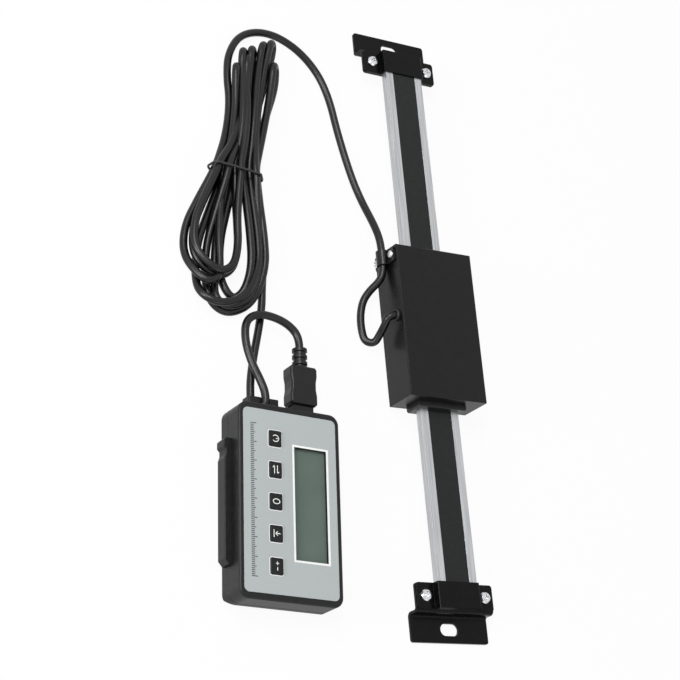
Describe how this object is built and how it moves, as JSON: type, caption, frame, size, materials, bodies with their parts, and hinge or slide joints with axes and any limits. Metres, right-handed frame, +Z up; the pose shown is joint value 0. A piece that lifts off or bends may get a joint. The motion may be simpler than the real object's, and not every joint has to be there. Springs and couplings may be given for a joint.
{
  "type": "digital linear scale with remote display",
  "caption": "Sliding reading head on an aluminium beam held by stepped feet, with a tied lead to a flat display that has a tall window and push buttons.",
  "frame": {"origin": "middle of the box round the scale and its display, without the lead, on the surface they lie on", "axes": "+Z up off the surface, the beam's graduated side up; +Y along the beam, away from the display's door; +X across, from the display to the beam"},
  "size_m": [0.1728, 0.366, 0.0248],
  "materials": {
    "head_paint": "satin black powder coat",
    "carriage_metal": "black anodised",
    "beam_metal": "brushed along its length",
    "strip_film": "satin film",
    "foot_paint": "gloss black paint",
    "bright_steel": "bright zinc",
    "dark_steel": "blackened",
    "saddle_paint": "satin black",
    "case_plastic": "fine spark texture",
    "face_film": "silver satin film",
    "frame_film": "white print",
    "window_glass": "clear",
    "panel_grey": "grey-green liquid crystal",
    "board_green": "solder mask",
    "button_rubber": "satin",
    "pad_carbon": "carbon",
    "socket_steel": "plated",
    "cell_steel": "plated can",
    "gib_brass": "ground",
    "cord_jacket": "semi-gloss jacket",
    "tie_plastic": "plastic-coated wire",
    "plug_plastic": "moulded, satin",
    "gland_rubber": "moulded"
  },
  "bodies": {
    "reader": {"head_cover": "head_paint", "head_back_plate": "head_paint", "head_screws": "dark_steel", "slide_carriage": "carriage_metal", "gib_strip": "gib_brass", "sensor_board": "board_green", "cable_gland": "gland_rubber", "cord_saddle": "saddle_paint", "saddle_screws": "bright_steel", "head_lead": "cord_jacket", "cord_hank": "cord_jacket", "hank_tie": "tie_plastic", "display_lead": "cord_jacket", "strain_relief": "plug_plastic", "plug_body": "plug_plastic", "plug_pin": "socket_steel", "cord_clip": "case_plastic", "clip_screw": "dark_steel", "display_front_case": "case_plastic", "display_rear_case": "case_plastic", "face_label": "face_film", "glass_frame": "frame_film", "display_glass": "window_glass", "display_panel": "panel_grey", "circuit_board": "board_green", "data_socket": "socket_steel", "case_screws": "dark_steel", "switch_pads": "pad_carbon", "coin_cell": "cell_steel", "side_rail": "case_plastic"},
    "rail": {"beam": "beam_metal", "scale_strip": "strip_film", "end_plug_near": "case_plastic", "end_plug_far": "case_plastic", "end_strap_near": "foot_paint", "end_strap_far": "foot_paint", "foot_bracket_near": "foot_paint", "foot_bracket_far": "foot_paint", "bracket_screws_near": "bright_steel", "bracket_screws_far": "bright_steel"},
    "button_1": {"button_1": "button_rubber"},
    "button_2": {"button_2": "button_rubber"},
    "button_3": {"button_3": "button_rubber"},
    "button_4": {"button_4": "button_rubber"},
    "button_5": {"button_5": "button_rubber"},
    "battery_door": {"battery_door": "case_plastic"}
  },
  "joints": [
    {"name": "rail_slide", "type": "slide", "parent": "reader", "child": "rail", "axis": [0, 1, 0], "range_m": [-0.1138, 0.0958]},
    {"name": "button_1_press", "type": "slide", "parent": "reader", "child": "button_1", "axis": [0, 0, -1], "range_m": [0, 0.0007], "stiffness_N_per_m": 1500},
    {"name": "button_2_press", "type": "slide", "parent": "reader", "child": "button_2", "axis": [0, 0, -1], "range_m": [0, 0.0007], "stiffness_N_per_m": 1500},
    {"name": "button_3_press", "type": "slide", "parent": "reader", "child": "button_3", "axis": [0, 0, -1], "range_m": [0, 0.0007], "stiffness_N_per_m": 1500},
    {"name": "button_4_press", "type": "slide", "parent": "reader", "child": "button_4", "axis": [0, 0, -1], "range_m": [0, 0.0007], "stiffness_N_per_m": 1500},
    {"name": "button_5_press", "type": "slide", "parent": "reader", "child": "button_5", "axis": [0, 0, -1], "range_m": [0, 0.0007], "stiffness_N_per_m": 1500},
    {"name": "door_slide", "type": "slide", "parent": "reader", "child": "battery_door", "axis": [-0.061, -0.9981, 0], "range_m": [0, 0.03]}
  ]
}
